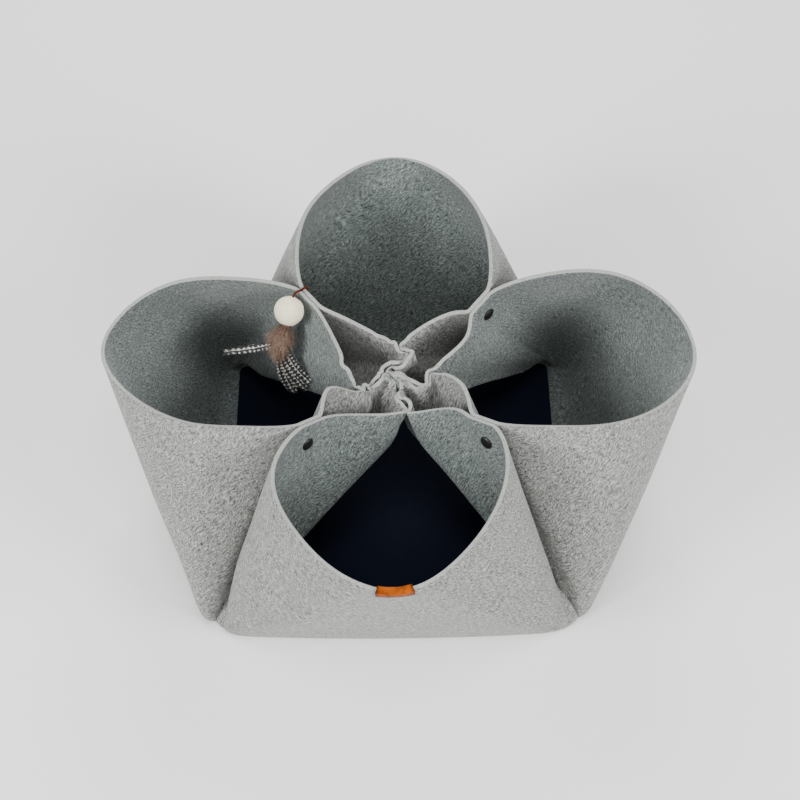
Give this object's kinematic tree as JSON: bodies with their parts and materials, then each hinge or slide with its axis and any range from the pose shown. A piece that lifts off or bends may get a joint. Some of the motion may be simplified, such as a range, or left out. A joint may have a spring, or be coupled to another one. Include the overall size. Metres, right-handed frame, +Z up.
{
  "type": "felt cat cave",
  "caption": "Open felt cat cave folded from one square sheet, with round mouths, snap buttons, a dark floor mat, a leather lip tag and a felt ball with feathers.",
  "frame": {"origin": "on the ground under the middle of the felt floor", "axes": "+Z up, the mouth with the leather tag faces -Y, +X to its right as the viewer stands in front of it"},
  "size_m": [0.6207, 0.6157, 0.2329],
  "materials": {
    "grey_felt": "thick pressed grey felt with darker fibres",
    "navy_cloth": "dark navy cloth mat",
    "tan_leather": "tan leather, edges cut",
    "brown_leather": "thin round leather thong",
    "black_plastic": "black press stud",
    "white_felt": "off-white felted wool ball",
    "feather": "brown fluff with black feathers spotted white"
  },
  "bodies": {
    "root": {"feather_bundle": "feather", "felt_cave": "grey_felt", "floor_mat": "navy_cloth", "lip_tag": "tan_leather", "snap_back_right_socket": "black_plastic", "snap_back_right_stud": "black_plastic", "snap_front_left_socket": "black_plastic", "snap_front_left_stud": "black_plastic", "snap_front_right_socket": "black_plastic", "snap_front_right_stud": "black_plastic", "toy_ball": "white_felt", "toy_thong": "brown_leather"}
  },
  "joints": []
}
